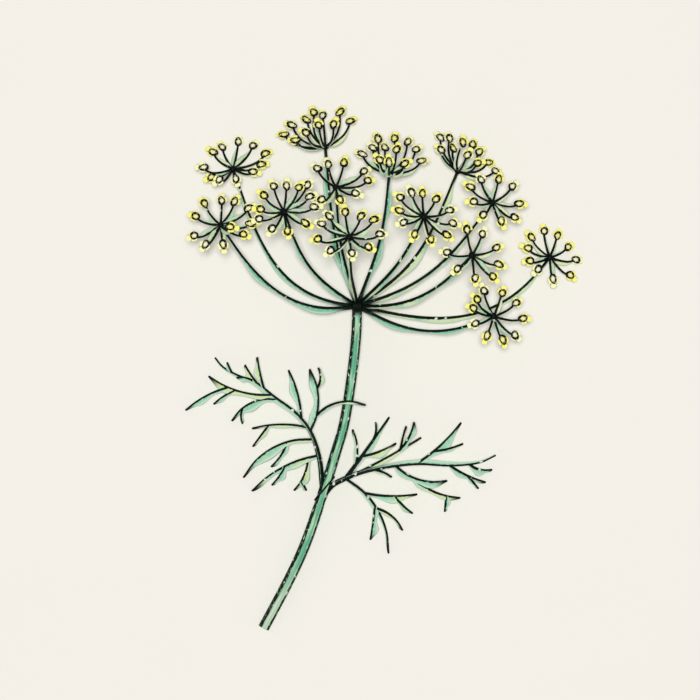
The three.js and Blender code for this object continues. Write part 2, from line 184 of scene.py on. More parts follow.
def makeStemMaterial():
    look = stemLook
    net = Surface("stemGreen", 0.5)
    side, top, ridge = net.split(net.attribute("skin", 1))
    along = net.attribute("along")
    ink = net.attribute("ink")

    def skinNoise(around, length, scale):  # a pattern that follows the stem's skin
        return net.noise(net.vector(side * around, top * around, along * length), scale)

    broad = skinNoise(0.9, 8.0, 1.3)
    fine = skinNoise(5.0, 26.0, 1.8)
    colour = net.blend(net.ease(broad, 0.46, 0.62), look["teal"], look["pale"])
    colour = net.blend(net.ease(fine, 0.56, 0.72) * 0.6, colour, look["lime"])
    colour = net.blend(net.ease(look["bareUpTo"] - along, 0.0, 0.2) * 0.75, colour, look["bare"])
    # painted shade: the flanks and the underside, turned from the light above, are darkened with the deep
    # green; the grooves are dark green stripes, darker there as painted shade
    low = net.ease(look["flankFrom"] - top, 0.0, 0.3)  # the flanks and the underside, with dark grooves
    groove = net.ease(0.0 - ridge, -0.1, 0.8)
    colour = net.blend(groove * (0.25 + low * 0.6), colour, look["deep"])
    colour = net.blend(low * 0.35, colour, look["deep"])
    # painted shade: a near-black line down each upper flank, where the stem turns from the light above, with
    # paler gaps in it
    outward = net.math("ABSOLUTE", side - look["lineShift"]) + (fine - 0.5) * 0.3
    shadeGaps = net.ease(skinNoise(5.0, 90.0, 1.0), 0.6, 0.66)
    line = net.ease(outward, look["lineFrom"], look["lineFull"]) * net.ease(top, 0.1, 0.45)
    line = line * (1.0 - shadeGaps * look["shadeGapDepth"])
    colour = net.blend(net.math("MAXIMUM", line, ink), colour, look["line"])
    # painted highlights: pale flecks on the dark line
    spots = net.ease(skinNoise(2.0, 60.0, 1.0), 0.64, 0.68) * net.ease(outward, 0.3, 0.5)
    colour = net.blend(spots * (1.0 - ink), colour, look["waxGlint"])
    rough = net.grain(skinNoise(14.0, 30.0, 3.0), 0.5)
    return net.finish({"Base Color": colour, "Roughness": fine * 0.3 + 0.35, "Normal": rough})


# In each look below, the near-black colour is painted shade down a strand's dark side, and the pale flecks
# are painted highlights.
rayLook = {
    "strong": paint(116, 188, 152),
    "pale": paint(214, 234, 214),
    "lime": paint(206, 226, 172),
    "line": paint(0, 12, 5),
    "waxGlint": paint(222, 232, 214),  # painted highlights: pale flecks, as glints on a waxy skin
    "waxGlintFrom": 0.68,
}
leafLook = {
    "strong": paint(150, 210, 174),
    "pale": paint(218, 237, 218),
    "lime": paint(206, 228, 158),
    "line": paint(0, 12, 5),
    "waxGlint": paint(226, 236, 220),
    "waxGlintFrom": 0.67,
}
sprigLook = {
    "strong": paint(170, 214, 166),
    "pale": paint(230, 240, 224),
    "lime": paint(220, 234, 172),
    "line": paint(0, 10, 4),
    "waxGlint": paint(220, 232, 208),
    "waxGlintFrom": 0.7,
}
strandPattern = {"patches": 110.0, "fine": 700.0, "waxGlint": 400.0}  # the scales of its noises


def makeStrandMaterial(name, look):  # a thin strand, painted near black as shade down one side, with a wash of colour down the other
    net = Surface(name, 0.55)
    side, top = net.split(net.attribute("skin", 1))[:2]
    ink = net.attribute("ink")
    place = net.objectPlace()
    patches = net.noise(place, strandPattern["patches"])
    fine = net.noise(place, strandPattern["fine"])
    waxGlint = net.noise(place, strandPattern["waxGlint"], 1.0)
    waxGlint = net.ease(waxGlint, look["waxGlintFrom"], look["waxGlintFrom"] + 0.05)
    reach = side * net.attribute("wash")
    patches = patches + net.attribute("tint") * 0.5
    colour = net.blend(net.ease(patches, 0.72, 0.94), look["strong"], look["lime"])
    faded = net.math("MAXIMUM", net.ease(fine, 0.5, 0.7) * 0.4, net.ease(reach, 0.4, 0.95) * 0.9)
    colour = net.blend(faded, colour, look["pale"])
    hem = net.ease(reach, 0.5, 0.62) * net.attribute("hem")
    beyond = reach - net.attribute("edge") + (fine - 0.5) * 0.3
    under = net.ease(0.0 - top, 0.2, 0.5)
    washed = net.math("MAXIMUM", net.ease(beyond, -0.05, 0.08), under * 0.6)
    washed = washed * (1.0 - net.math("MAXIMUM", ink, hem))
    # where it isn't washed, the strand is painted near black as its shaded side
    colour = net.blend(washed, look["line"], colour)
    # painted highlights: pale flecks on the strand's dark side
    colour = net.blend(waxGlint * (1.0 - ink) * (1.0 - washed), colour, look["waxGlint"])
    rough = net.grain(fine, 0.4)
    return net.finish({"Base Color": colour, "Roughness": fine * 0.3 + 0.4, "Normal": rough})


floretLook = {
    "yellow": paint(255, 252, 140),
    "light": paint(255, 254, 196),
    "warm": paint(255, 245, 100),
    "cream": paint(247, 244, 212),
    "gold": paint(250, 240, 134),
    "vein": paint(252, 244, 104),
    "fineScale": 1800.0,
}


def makeFloretMaterial():
    look = floretLook
    net = Surface("floretYellow", 0.6)
    across, domed = net.split(net.attribute("tone", 1))[:2]
    glow = net.attribute("glow")
    fine = net.noise(net.objectPlace(), look["fineScale"])
    petal = net.blend(net.ease(glow, 0.15, 0.6), look["light"], look["yellow"])
    petal = net.blend(net.ease(fine, 0.5, 0.75) * 0.5, petal, look["warm"])
    middle = 1.0 - net.ease(net.math("ABSOLUTE", across), 0.0, 0.3)
    petal = net.blend(middle * 0.4, petal, look["vein"])
    cushion = net.blend(net.ease(fine + glow * 0.4, 0.6, 0.9), look["cream"], look["gold"])
    colour = net.blend(net.ease(domed, 0.2, 0.8), petal, cushion)
    return net.finish({"Base Color": colour, "Normal": net.grain(fine, 0.3)})


pithLook = {
    "cream": paint(232, 238, 206),
    "green": paint(150, 190, 128),
    "fibre": paint(96, 140, 88),
    "fleshScale": 900.0,
    "fibreScale": 2200.0,
}


def makePithMaterial():  # the cut face: pale flesh with greener fibres round its edge
    look = pithLook
    net = Surface("stemPith", 0.7)
    place = net.objectPlace()
    flesh = net.noise(place, look["fleshScale"])
    fibres = net.add("ShaderNodeTexVoronoi", {}, {"Vector": place, "Scale": look["fibreScale"]})
    colour = net.blend(net.ease(flesh, 0.35, 0.7), look["cream"], look["green"])
    colour = net.blend((1.0 - net.ease(fibres, 0.1, 0.4)) * 0.7, colour, look["fibre"])
    colour = net.blend(net.ease(net.attribute("rim"), 0.8, 1.0), colour, stemLook["deep"])
    return net.finish({"Base Color": colour, "Normal": net.grain(fibres, 0.6)})


stemGreen = makeStemMaterial()
rayGreen = makeStrandMaterial("rayGreen", rayLook)
leafGreen = makeStrandMaterial("leafGreen", leafLook)
sprigGreen = makeStrandMaterial("sprigGreen", sprigLook)
stemPith = makePithMaterial()
floretYellow = makeFloretMaterial()
print("materials made")


# Geometry node trees

def newTree(name, numbers):  # numbers: the tree's own sizes, by name
    tree = bpy.data.node_groups.new(name, "GeometryNodeTree")
    tree.interface.new_socket("Geometry", in_out="OUTPUT", socket_type="NodeSocketGeometry")
    tree.interface.new_socket("Geometry", in_out="INPUT", socket_type="NodeSocketGeometry")
    for label, value in numbers.items():
        kind = {bool: "NodeSocketBool", int: "NodeSocketInt", float: "NodeSocketFloat"}[type(value)]
        socket = tree.interface.new_socket(label, in_out="INPUT", socket_type=kind)
        socket.default_value = value
    net = Net(tree)
    wires = net.add("NodeGroupInput", {}, {}, out=None)
    inputs = {"Geometry": wires[0]}
    for label, wire in zip(numbers, wires[1:]):
        inputs[label] = wire
    return tree, net, inputs


def endTree(net, geometry, material):
    real = net.add("GeometryNodeRealizeInstances", {}, {0: geometry})
    smooth = net.add("GeometryNodeSetShadeSmooth", {}, {"Geometry": real, "Shade Smooth": True})
    painted = net.add("GeometryNodeSetMaterial", {}, {"Geometry": smooth, "Material": material})
    ending = net.tree.nodes.new("NodeGroupOutput")
    net.tree.links.new(painted.socket, ending.inputs[0])


def store(net, geometry, name, value):
    settings = {"data_type": "FLOAT_VECTOR", "domain": "POINT"}
    sockets = {"Geometry": geometry, "Name": name, "Value": value}
    return net.add("GeometryNodeStoreNamedAttribute", settings, sockets)


def named(net, name, kind="FLOAT"):
    return net.add("GeometryNodeInputNamedAttribute", {"data_type": kind}, {"Name": name})


strandSizes = {"Sides": 12, "Ribs": 5, "Rib Height": 0.05, "Flatness": 1.0, "Close Ends": True, "Weld": 0.0}


def makeStrandTree(name, material):  # sweeps a ribbed section along every line of its guide
    tree, net, size = newTree(name, strandSizes)
    curve = net.add("GeometryNodeMeshToCurve", {}, {0: size["Geometry"]})
    curve = net.add("GeometryNodeSetCurveNormal", {"mode": "Z_UP"}, {"Curve": curve})
    curve = store(net, curve, "sideways", net.add("GeometryNodeInputNormal", {}, {}))
    ring = net.add("GeometryNodeCurvePrimitiveCircle", {}, {"Resolution": size["Sides"], "Radius": 1.0})
    x, y, z = net.position()
    wave = net.math("COSINE", net.math("ARCTAN2", y, x) * size["Ribs"] + math.pi)
    swell = wave * size["Rib Height"] + 1.0
    ring = store(net, ring, "skin", net.vector(x, 0.0 - y, wave))
    shaped = net.vector(x * swell, y * swell * size["Flatness"], 0.0)
    sockets = {"Curve": curve, "Profile Curve": net.moved(ring, shaped), "Scale": named(net, "size")}
    sockets["Fill Caps"] = size["Close Ends"]
    mesh = net.add("GeometryNodeCurveToMesh", {}, sockets)
    across = net.split(named(net, "skin", "FLOAT_VECTOR"))[0]
    blade = named(net, "blade")
    reach = net.math("MAXIMUM", across * blade, 0.0) * net.math("SIGN", blade)
    sockets = {"Vector": named(net, "sideways", "FLOAT_VECTOR"), "Scale": reach}
    offset = net.add("ShaderNodeVectorMath", {"operation": "SCALE"}, sockets)
    mesh = net.add("GeometryNodeSetPosition", {}, {"Geometry": mesh, "Offset": offset})
    mesh = net.add("GeometryNodeMergeByDistance", {}, {"Geometry": mesh, "Distance": size["Weld"]})
    endTree(net, mesh, material)
    return tree


floretSizes = {
    "Petals": 5,
    "Petal Root": 0.00104,  # from the floret's middle to where a petal starts
    "Petal Length": 0.0015,
    "Petal Half Width": 0.00122,
    "Petal Rise": 0.00022,
    "Petal Drop": 0.00016,  # how far under the dark rim it starts
    "Petal Curl": 1.7,  # how far it rolls in, in radians
    "Petal Thickness": 0.0001,
    "Petal Cup": 0.00022,  # how far its sides stand above its middle line
    "Inner Petal": 0.42,  # size of a petal that points at the umbellet's hub
    "Cushion Radius": 0.00082,
    "Cushion Height": 0.00042,
    "Anther Radius": 0.0002,
    "Anther Reach": 0.0016,
    "Anther Rise": 0.0005,
    "Filament Radius": 0.00007,
}


def turnedCopies(net, geometry, count, offset, inner):  # copies round +Z, the inner ones at a smaller size
    index = net.add("GeometryNodeInputIndex", {}, {})
    angle = (index + offset) * (2 * math.pi) / count
    share = (net.math("COSINE", angle) + 1.0) * 0.5
    level = inner + (1.0 - inner) * share
    sockets = {"Points": net.add("GeometryNodePoints", {}, {"Count": count}), "Instance": geometry}
    sockets["Rotation"] = net.add("FunctionNodeEulerToRotation", {}, {0: net.vector(0.0, 0.0, angle)})
    sockets["Scale"] = net.vector(level, level, 1.0)
    return net.add("GeometryNodeInstanceOnPoints", {}, sockets)


def joined(net, *parts):
    join = net.tree.nodes.new("GeometryNodeJoinGeometry")
    for part in parts:
        net.tree.links.new(part.socket, join.inputs[0])
    return Wire(net, join.outputs[0])


def makeFloretTree(material):  # one five-petalled floret on every point of its guide
    tree, net, size = newTree("floretTree", floretSizes)
    x, y, z = net.position()
    share = (z + 1.0) * 0.5  # along a ball, from its lower to its upper pole

    curl = share * size["Petal Curl"]
    bend = net.math("SINE", curl)
    level = net.math("COSINE", curl)
    lift = x * x * size["Petal Cup"] + y * size["Petal Thickness"]
    outward = size["Petal Root"] + size["Petal Length"] * bend - lift * bend
    upward = size["Petal Rise"] * (1.0 - level) + lift * level - size["Petal Drop"]
    petal = store(net, net.ball(8, 6), "tone", net.vector(x, 0.0, 0.0))
    petal = net.moved(petal, net.vector(outward, x * size["Petal Half Width"], upward))
    petals = turnedCopies(net, petal, size["Petals"], 0.0, size["Inner Petal"])

    dome = store(net, net.ball(10, 6), "tone", net.vector(x, 1.0, 0.0))
    cleft = 0.75 + net.ease(net.math("ABSOLUTE", x), 0.0, 0.45) * 0.25
    radius = size["Cushion Radius"]
    dome = net.moved(dome, net.vector(x * radius, y * radius, z * cleft * size["Cushion Height"]))

    lifted = net.vector(size["Anther Reach"], 0.0, size["Anther Rise"])
    bead = {"Geometry": net.ball(5, 4, size["Anther Radius"]), "Translation": lifted}
    radius = size["Filament Radius"]
    outward = share * size["Anther Reach"] + x * radius
    thread = net.moved(net.ball(3, 3), net.vector(outward, y * radius, share * size["Anther Rise"]))
    stamen = joined(net, net.add("GeometryNodeTransform", {}, bead), thread)
    stamen = store(net, stamen, "tone", net.vector(1.0, 0.0, 0.0))
    stamens = turnedCopies(net, stamen, size["Petals"], 0.5, size["Inner Petal"])

    axes = {"Primary Axis": named(net, "facing", "FLOAT_VECTOR")}
    axes["Secondary Axis"] = named(net, "outwards", "FLOAT_VECTOR")
    settings = {"primary_axis": "Z", "secondary_axis": "X"}
    sockets = {"Points": net.add("GeometryNodeMeshToPoints", {}, {"Mesh": size["Geometry"]})}
    sockets["Instance"] = joined(net, petals, dome, stamens)
    sockets["Rotation"] = net.add("FunctionNodeAxesToRotation", settings, axes)
    sockets["Scale"] = net.vector(named(net, "stretch"), 1.0, 1.0)
    florets = net.add("GeometryNodeInstanceOnPoints", {}, sockets)
    endTree(net, florets, material)
    return tree


def newMesh(name, places, numbers, vectors={}, lines=(), faces=()):  # numbers, vectors: one for each point
    mesh = bpy.data.meshes.new(name)
    mesh.from_pydata([place + toCentre for place in places], lines, faces)
    for label, values in numbers.items():
        mesh.attributes.new(label, "FLOAT", "POINT").data.foreach_set("value", values)
    for label, values in vectors.items():
        flat = [part for value in values for part in value]
        mesh.attributes.new(label, "FLOAT_VECTOR", "POINT").data.foreach_set("vector", flat)
    return mesh


def growPiece(name, guide, tree, sizes, slot, *nodes):  # runs a tree on a guide and keeps a plain mesh
    piece = newObject(name, guide)
    modifier = piece.modifiers.new("grow", "NODES")
    modifier.node_group = tree
    for item in tree.interface.items_tree:
        if item.name in sizes:  # else the tree's own
            modifier[item.identifier] = sizes[item.name]
    depsgraph = bpy.context.evaluated_depsgraph_get()
    mesh = bpy.data.meshes.new_from_object(piece.evaluated_get(depsgraph))
    piece.modifiers.clear()
    piece.data = mesh
    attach(piece, "root")
    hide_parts(*nodes)


# Curves

def lerp(first, second, share):
    return first + (second - first) * share


finePoints = 40  # between two corners, before a curve is cut into even steps


def smoothRoute(corners, steps):  # evenly spaced points of a centripetal curve through the corners
    points = [Vector(corner) for corner in corners]
    points = [points[0] * 2 - points[1]] + points + [points[-1] * 2 - points[-2]]
    fine = []
    for i in range(1, len(points) - 2):
        before, start, end, after = points[i - 1:i + 3]
        spans = [math.sqrt((b - a).length) for a, b in ((before, start), (start, end), (end, after))]
        leaving = (start - before) / spans[0] - (end - before) / (spans[0] + spans[1])
        leaving = (leaving + (end - start) / spans[1]) * spans[1]
        landing = (end - start) / spans[1] - (after - start) / (spans[1] + spans[2])
        landing = (landing + (after - end) / spans[2]) * spans[1]
        for j in range(finePoints):
            t = j / finePoints
            square = (end - start) * 3 - leaving * 2 - landing
            cube = (start - end) * 2 + leaving + landing
            fine.append(start + leaving * t + square * t ** 2 + cube * t ** 3)
    fine.append(points[-2])
    return evenly(fine, steps)


def evenly(fine, steps):  # the same line in steps of one length
    lengths = [0.0]
    for a, b in zip(fine, fine[1:]):
        lengths.append(lengths[-1] + (b - a).length)
    route = []
    j = 0
    for i in range(steps + 1):
        target = lengths[-1] * i / steps
        while j < len(fine) - 2 and lengths[j + 1] < target:
            j += 1
        span = lengths[j + 1] - lengths[j]
        route.append(fine[j].lerp(fine[j + 1], (target - lengths[j]) / span))
    return route


def eased(value, low, high):  # 0 at low, 1 at high, smooth between; low may be the larger
    share = max(0.0, min(1.0, (value - low) / (high - low)))
    return share * share * (3 - 2 * share)


def pointAt(route, share):
    place = share * (len(route) - 1)
    i = min(int(place), len(route) - 2)
    return route[i].lerp(route[i + 1], place - i)


def headingAt(route, share):
    step = 1 / (len(route) - 1)
    ahead = pointAt(route, min(1.0, share + step)) - pointAt(route, max(0.0, share - step))
    return math.atan2(ahead.y, ahead.x)


def direction(heading, climb):  # a unit vector, both angles in radians
    level = math.cos(climb)
    return Vector((level * math.cos(heading), level * math.sin(heading), math.sin(climb)))


def turns(count):  # angles, evenly round a full turn
    return [2 * math.pi * i / count for i in range(count)]


def bezier(start, firstHandle, secondHandle, end, steps):
    route = []
    for i in range(steps + 1):
        t = i / steps
        s = 1 - t
        place = start * s ** 3 + firstHandle * 3 * s * s * t
        place += secondHandle * 3 * s * t * t
        route.append(place + end * t ** 3)
    return route


def seeded(seed):  # repeatable numbers from 0 to 1
    state = seed * 7919
    while True:
        state = (state * 48271) % 2147483647
        yield state / 2147483647


def never(along):
    return 0.0


def always(along):
    return 1.0


class Strands:  # gathers lines for a strand tree's guide
    def __init__(self, lineShare=0.0):  # lineShare: how much of a strand's half width is painted dark as shade
        self.places = []
        self.lines = []
        self.lineShare = lineShare
        self.numbers = {}

    def add(self, route, sizeAt, bladeAt=never, inkAt=never, hemAt=never, wash=1.0, tint=0.5, closed=False):
        first = len(self.places)
        for i, point in enumerate(route):
            along = i / (len(route) - 1)
            size = sizeAt(along)
            blade = bladeAt(along)
            self.lines.append((first + i, first + i + 1))
            self.places.append(point)
            numbers = {"size": size, "blade": blade, "edge": self.lineShare * size / (size + abs(blade))}
            numbers |= {"along": along, "wash": wash, "tint": tint, "ink": inkAt(along), "hem": hemAt(along)}
            for name, value in numbers.items():
                self.numbers.setdefault(name, []).append(value)
        self.lines.pop()
        if closed:
            self.lines.append((len(self.places) - 1, first))

    def guide(self, name):
        return newMesh(name, self.places, self.numbers, lines=self.lines)


# The stem, from its cut end to the knob that the rays grow from

stemSizes = {
    "cutRadius": 0.00205,
    "neckRadius": 0.0018,
    "nodeRadius": 0.00175,
    "nodeAt": 0.41,  # the leaf joint: how far along the stem, and how much of it is narrower
    "nodeSpread": 0.02,
    "ribMiddle": 0.00008,  # half of a rib's height
    "hubRadius": 0.0026,
    "hubHeight": 0.00234,
    "hubSteps": 14,
    "sheathAt": 0.45,
    "sheathTurn": 50,
    "sheathRim": 0.00034,
    "sheathProud": 0.0001,
    "sheathCorners": 24,
    "darkFrom": 0.965,  # where the stem turns dark under the hub
    "darkFull": 0.985,
    "endRadius": 0.000002,
    "steps": 300,
    "Sides": 60,
    "Ribs": 10,
    "Rib Height": 0.0375,
    "Close Ends": False,
    "Weld": 0.000008,
}
stemCorners = [
    (-0.0455, -0.098, 0.00221), (-0.036, -0.080, 0.0027), (-0.030, -0.067, 0.0035), (-0.0227, -0.046, 0.0054),
    (-0.018, -0.031, 0.0072), (-0.015, -0.0205, 0.0086), (-0.0117, 0.0005, 0.0112), (-0.0104, 0.013, 0.0129),
    umbelHub,
]
stemRoute = smoothRoute(stemCorners, stemSizes["steps"])


def stemRadius(along):
    sizes = stemSizes
    taper = lerp(sizes["cutRadius"], sizes["neckRadius"], along)
    joint = math.exp(-(((along - sizes["nodeAt"]) / sizes["nodeSpread"]) ** 2))
    return lerp(taper, sizes["nodeRadius"], joint) + sizes["ribMiddle"]


def sheathRim():  # the edge of the leaf sheath, aslant round the stem
    at = stemSizes["sheathAt"]
    centre = pointAt(stemRoute, at)
    forward = (pointAt(stemRoute, at + 0.01) - centre).normalized()
    sideways = forward.cross(Vector((0, 0, 1))).normalized()
    upward = sideways.cross(forward)
    across = direction(math.radians(stemSizes["sheathTurn"]), 0.0).cross(Vector((0, 0, 1)))
    radius = stemRadius(at) + stemSizes["sheathProud"]
    rim = []
    for angle in turns(stemSizes["sheathCorners"]):
        out = (sideways * math.cos(angle) + upward * math.sin(angle)) * radius
        rim.append(centre + out - forward * (out.dot(across) / forward.dot(across)))
    return rim


def makeStem():
    sizes = stemSizes
    upward = (stemRoute[-1] - stemRoute[-4]).normalized()
    route = list(stemRoute)
    for i in range(1, sizes["hubSteps"] + 1):
        rise = sizes["hubHeight"] * math.sin(math.pi / 2 * i / sizes["hubSteps"])
        route.append(umbelHub + upward * rise)
    span = (len(route) - 1) / sizes["steps"]

    def sizeAt(along):
        share = along * span
        radius = stemRadius(min(1.0, share)) if share <= 1 else 0.0
        beyond = (pointAt(route, along) - umbelHub).length / sizes["hubHeight"]
        knob = sizes["hubRadius"] * math.sqrt(max(0.0, 1 - beyond ** 2))
        return max(radius, knob, sizes["endRadius"])

    strands = Strands()
    strands.add(route, sizeAt,
                inkAt=lambda along: eased(along * span, sizes["darkFrom"], sizes["darkFull"]))
    strands.add(sheathRim(), lambda along: sizes["sheathRim"], inkAt=always, closed=True)
    tree = makeStrandTree("stemTree", stemGreen)
    growPiece("stem_shaft", strands.guide("stemGuide"), tree, sizes, "stem_green", "stem")
    makeCutFace()
    print("stem made")


cutRings = [  # over the cut end: share of the radius, depth
    (1.0, 0.0), (0.95, -0.00006), (0.82, -0.00004), (0.6, 0.0001), (0.5, 0.0005), (0.46, 0.0026),
    (0.02, 0.003),
]


def makeCutFace():  # pale flesh round the hollow of the cut stem
    inward = (stemRoute[1] - stemRoute[0]).normalized()
    sideways = inward.cross(Vector((0, 0, 1))).normalized()
    upward = sideways.cross(inward)
    sides = stemSizes["Sides"]
    places = []
    rims = []
    for share, depth in cutRings:
        for angle in turns(sides):
            wave = 1 - stemSizes["Rib Height"] * math.cos(stemSizes["Ribs"] * angle) * share ** 4
            radius = stemRadius(0.0) * wave * share
            place = stemRoute[0] + inward * depth
            places.append(place + (sideways * math.cos(angle) + upward * math.sin(angle)) * radius)
            rims.append(share)
    faces = []
    for ring in range(len(cutRings) - 1):
        for i in range(sides):
            j = (i + 1) % sides
            low = ring * sides
            faces.append((low + i, low + sides + i, low + sides + j, low + j))
    faces.append([len(places) - sides + i for i in reversed(range(sides))])
    mesh = newMesh("stem_cut", places, {"rim": rims}, faces=faces)
    mesh.materials.append(stemPith)
    mesh.polygons.foreach_set("use_smooth", [True] * len(mesh.polygons))
    piece = newObject("stem_cut", mesh)
    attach(piece, "root")
    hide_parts("stem")


# The umbel: rays and umbellets

raySizes = {
    "rootRadius": 0.00085,
    "tipRadius": 0.00058,
    "gap": 0.0007,  # left free under each umbellet in the solids
    "startClimb": 0.8,  # how steeply a ray leaves, as a share of its umbellet's angle above the stem's hub
    "endClimb": 0.6,  # how steeply it arrives, as a share of the angle that its umbellet faces
    "fullClimbFrom": 0.040,  # height above the table, under which it arrives flatter
    "startHandle": 0.42,  # how far it keeps each heading, as a share of its span
    "endHandle": 0.4,
    "sunk": 0.6,  # where it ends in the umbellet's hub
    "lineShare": 0.4,
    "bladeWidth": 0.0012,  # thin green edge along a ray
    "bladeShare": (0.5, 1.5),  # least and most of that width
    "nearWash": (0.2, 0.45),  # how far along a ray its wash peaks, least and most; a slighter one follows
    "nearWidth": 0.12,
    "farWash": 0.8,
    "farOffset": 0.4,
    "farWidth": 0.1,
    "steps": 60,
    "Rib Height": 0.06,
}
sprigSizes = {
    "hubRadius": 0.0014,
    "hubHeight": 0.00112,
    "rootRadius": 0.0005,
    "stalkRadius": 0.00041,
    "ovaryRadius": 0.0008,
    "ovaryDepth": 0.0013,
    "stalkSteps": 10,
    "flowerSteps": 7,
    "rootShare": 0.35,  # where along its line a stalk is thinnest, and where the ovary starts
    "ovaryShare": 0.6,
    "rimShare": 0.75,  # where the ovary opens into the rim
    "rimRadius": 0.00124,  # the rim that the petals spring from, painted near black as the shade of the crease round the cushion
    "petalReach": 0.00195,
    "petalLift": 0.0005,
    "outwardStretch": 1.6,
    "outwardBow": 0.13,  # share of its length that a stalk bows away from the axis
    "sag": 0.09,  # share that it hung down by while the plant stood
    "axisLean": 0.55,  # how far florets turn towards the umbellet's axis, and then up to the light
    "upwardLean": 1.0,
    "ringRadius": 0.00115,  # the near-black loop round a floret's cushion: the green rim, painted as the shade of the crease between petals and cushion
    "ringThickness": 0.00033,
    "ringCorners": 16,
    "ringUneven": (0.11, 0.07),  # how far it is oval, and how far three-cornered
    "ringLeast": 0.7,  # a loop with a steeper slant is drawn out no further
    "ringStretch": (1.2, 1.42),  # how much longer it is away from the hub, least and most
    "lineShare": 0.92,
    "bladeWidth": 0.0012,  # thin green edge along a stalk, near the hub
    "leastBlade": 0.15,  # share of that width
    "lowest": 0.0006,
    "shortBelow": 0.004,  # florets this close to the table stay short
    "Sides": 8,
}

# Each umbellet, in mm and degrees: its hub, which way it faces, the headings that its ray leaves and arrives
# with, how far its florets open from its axis, and where each stands as seen from above its hub. A third
# number is how far a floret stands above the hub, where it isn't on that cone.
umbellets = [
    {"at": (-57, 76, 5.5), "faces": (0.1, 0.7, 0.7), "ray": (177, 108), "open": 68, "florets": [
        (-7.6, 6.4), (-4.2, 8.4), (1.9, 10.5), (7.4, 9), (12.2, 5.8), (10.7, 1.6), (7.7, -1.3), (1.3, -4.2),
        (-4.8, -4.6), (-8, -3.4, 6), (-10.8, 0.2)]},
    {"at": (-22, 84, 11.5), "faces": (-0.18, 0.95, 0.25), "ray": (112, 94), "florets": [
        (-15.6, 4.8, -2), (-12.6, 8.1, 3), (-7.2, 10.6, -6), (-4.4, 12.8, 4), (-1.1, 12.3, -7), (5.5, 13, 2),
        (9.3, 9.9, -3), (3.1, 8, 9), (-2.5, 7.6, 11), (-7.2, 4.8, 10), (-11.2, 2.2, 6)]},
    {"at": (-61, 54, 27), "faces": (-0.05, 0.58, 0.81), "ray": (192, 122), "open": 74, "florets": [
        (-6.1, 8.2), (0.3, 9.3), (5.1, 8.9), (10.4, 6.3), (11.2, 0.4), (8.7, -3.6), (1.2, -7.4), (-5.3, -7.4),
        (-9.6, -4.1), (-9.3, 3.3), (3.8, -0.9, 9)]},
    {"at": (-37, 58.5, 42), "faces": (0.05, 0.52, 0.85), "ray": (150, 108), "open": 74, "florets": [
        (-7.5, 6), (-4, 9.5), (0.8, 9.7), (5.4, 8.8, 3), (8.5, 9.9), (9.4, 5.6), (11, 1.7), (7.8, -4.4),
        (1.3, -7.3), (-4.3, -6.5), (-9.1, -2.9), (-8.7, 0.8)]},
    {"at": (-18, 68, 30.5), "faces": (0.1, 0.7, 0.7), "ray": (108, 92), "open": 73, "florets": [
        (-6.9, 7.1), (-2.8, 8.7), (3, 9.4), (10.5, 6.1), (11.9, 2.5), (7.3, -2.4), (1.6, -4.9), (-5.2, -5)]},
    {"at": (-13, 49, 50), "faces": (0, 0.62, 0.78), "ray": (102, 92), "open": 74, "florets": [
        (-10.1, 4.8), (-7.3, 7.6), (-1.5, 9.2), (4.3, 7.6), (9, 6.3), (11.2, 0.9), (7, -3.9), (1, -6.2),
        (-6.8, -5.3), (-11.5, -1)]},
    {"at": (2, 73.5, 20), "faces": (0.05, 0.95, 0.28), "ray": (68, 86), "florets": [
        (-10.1, 7.6, -4), (-6.2, 9.4, 6), (-4.2, 13.1, -1), (1.9, 13.1, 3), (7, 12.1, -2), (10, 9, 3),
        (12.1, 5, -3), (5.6, 3.3, 10), (2.6, 8.6, 9), (-1.6, 10.3, -8), (-3.6, 4.7, 9), (-0.2, 3.6, 13)]},
    {"at": (28, 75, 9.5), "faces": (0.5, 0.8, 0.3), "ray": (30, 68), "florets": [
        (-6.4, 7.8, 4), (-6.5, 12.8, -3), (-3.2, 12.1, 5), (-1.6, 8.9, -6), (1.7, 10.4, 8), (5.7, 10.2, -3),
        (8, 7.1, 3), (3.3, 5.5, 11), (7.2, 2.6, 9), (11.8, 3.5, -6), (14.3, 0.1, -2)]},
    {"at": (14.5, 56.5, 46), "faces": (0.22, 0.3, 0.92), "ray": (42, 66), "open": 74, "florets": [
        (-8.8, 7), (-4.5, 8.8), (-0.5, 8.5), (4.5, 6.5), (9.5, 2.4), (10.6, -2.4), (8.3, -6.8), (2.5, -8.4),
        (-3.5, -6.6), (-7.6, -2.3), (-9, 2.1)]},
    {"at": (40.5, 62.5, 24), "faces": (0.25, 0.45, 0.85), "ray": (14, 54), "open": 72, "florets": [
        (-8.2, 5.8), (-4.2, 8.6), (2.5, 8.8), (7.6, 6.2), (10, -0.4), (8.1, -5.6), (3.1, -7), (-3.6, -4.8),
        (-7.1, 0.2)]},
    {"at": (32.5, 42.5, 38), "faces": (0.15, 0.2, 0.97), "ray": (-6, 48), "open": 74, "florets": [
        (-1.9, 9.4), (3.8, 7.9), (9, 2.8), (9.7, -3.4), (7.6, -7.9), (1, -8.5), (-5.6, -5.1), (-9.4, 1)]},
    {"at": (41, 20, 24), "faces": (0.3, 0.1, 0.95), "ray": (-32, 24), "open": 74, "florets": [
        (-7.7, 3), (-6.4, 6.2, 8), (-3.7, 9.5), (3.2, 8.7), (8.4, 5), (11, -0.8), (7.9, -7), (3.3, -8.7),
        (-2.6, -7.2), (-7, -2.7)]},
    {"at": (63, 42.5, 3.4), "faces": (0.34, 0.28, 0.9), "ray": (-15, 54), "open": 76, "florets": [
        (-8.4, 3.4), (-7, 7.6), (-2.1, 10), (3.1, 8.3), (7.1, 4), (10, -0.8), (7.7, -6.7), (1, -8.2),
        (-4.6, -4.6), (-7.7, -1.4)]},
]


def hubOf(umbellet):
    return Vector([value / 1000 for value in umbellet["at"]])


